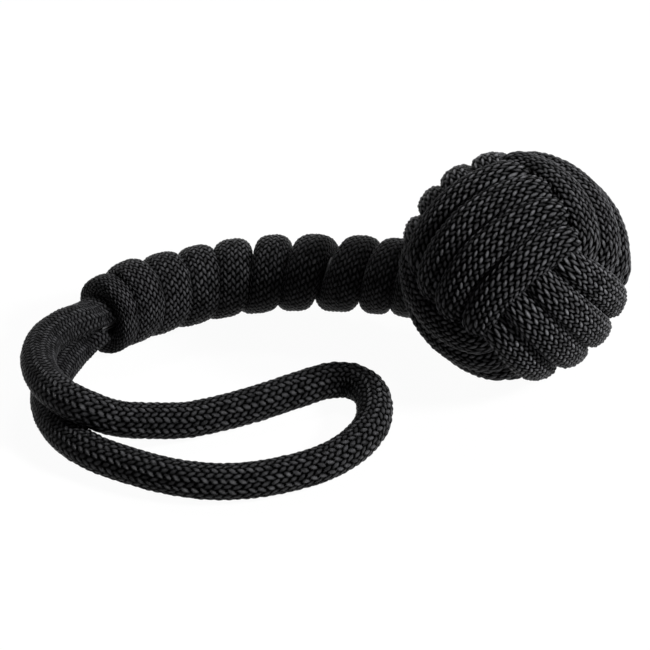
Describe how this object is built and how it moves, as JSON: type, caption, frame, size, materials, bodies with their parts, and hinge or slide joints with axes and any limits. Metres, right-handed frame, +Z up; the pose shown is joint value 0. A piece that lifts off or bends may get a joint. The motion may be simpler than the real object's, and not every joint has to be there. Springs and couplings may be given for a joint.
{
  "type": "monkey fist knot",
  "caption": "Monkey fist knot fob in black braided cord: a round fist tied over a steel ball, a wrapped shank, and a hand loop lying folded back beside it.",
  "frame": {"origin": "on the plane the knot lies on, below the middle of its bounding box", "axes": "+Z up from that plane; +X from the hand loop's fold towards the fist; +Y across, from the folded loop towards the shank"},
  "size_m": [0.0773, 0.0464, 0.0303],
  "materials": {
    "cord": "black braided nylon sheath, matte with a faint sheen",
    "steel": "plain bearing ball, hidden inside the fist"
  },
  "bodies": {
    "fist": {"core_ball": "steel", "first_round_turn_1": "cord", "first_round_turn_2": "cord", "first_round_turn_3": "cord", "first_round_turn_4": "cord", "second_round_turn_1": "cord", "second_round_turn_2": "cord", "second_round_turn_3": "cord", "second_round_turn_4": "cord", "third_round_turn_1": "cord", "third_round_turn_2": "cord", "third_round_turn_3": "cord", "third_round_turn_4": "cord"},
    "neck": {"coil_turn_9": "cord", "core_strand_upper_neck": "cord", "core_strand_lower_neck": "cord"},
    "shank_back": {"coil_turn_6": "cord", "coil_turn_7": "cord", "coil_turn_8": "cord", "core_strand_upper_back": "cord", "core_strand_lower_back": "cord"},
    "shank_front": {"coil_turn_2": "cord", "coil_turn_3": "cord", "coil_turn_4": "cord", "coil_turn_5": "cord", "core_strand_upper_front": "cord", "core_strand_lower_front": "cord"},
    "mouth": {"coil_turn_1": "cord", "core_strand_upper_mouth": "cord", "core_strand_lower_mouth": "cord"},
    "loop": {"hand_loop": "cord"}
  },
  "joints": [
    {"name": "neck_nod", "type": "hinge", "parent": "fist", "child": "neck", "pos_m": [0.01054, 0.01331, 0.00896], "axis": [0.4061, 0.9138, 0], "range_deg": [-6, 8]},
    {"name": "neck_swing", "type": "hinge", "parent": "neck", "child": "shank_back", "pos_m": [0.00487, 0.01569, 0.00799], "axis": [-0.1454, 0.0525, 0.988], "range_deg": [-7, 4]},
    {"name": "shank_bend", "type": "hinge", "parent": "shank_back", "child": "shank_front", "pos_m": [-0.00843, 0.01853, 0.0061], "axis": [-0.1163, 0.0013, 0.9932], "range_deg": [-7, 4]},
    {"name": "mouth_lift", "type": "hinge", "parent": "shank_front", "child": "mouth", "pos_m": [-0.02555, 0.01292, 0.00484], "axis": [-0.594, 0.8044, 0], "range_deg": [-4, 7]},
    {"name": "loop_swing", "type": "hinge", "parent": "mouth", "child": "loop", "pos_m": [-0.0303, 0.0089, 0.0048], "axis": [0, 0, -1], "range_deg": [-5, 45]}
  ]
}
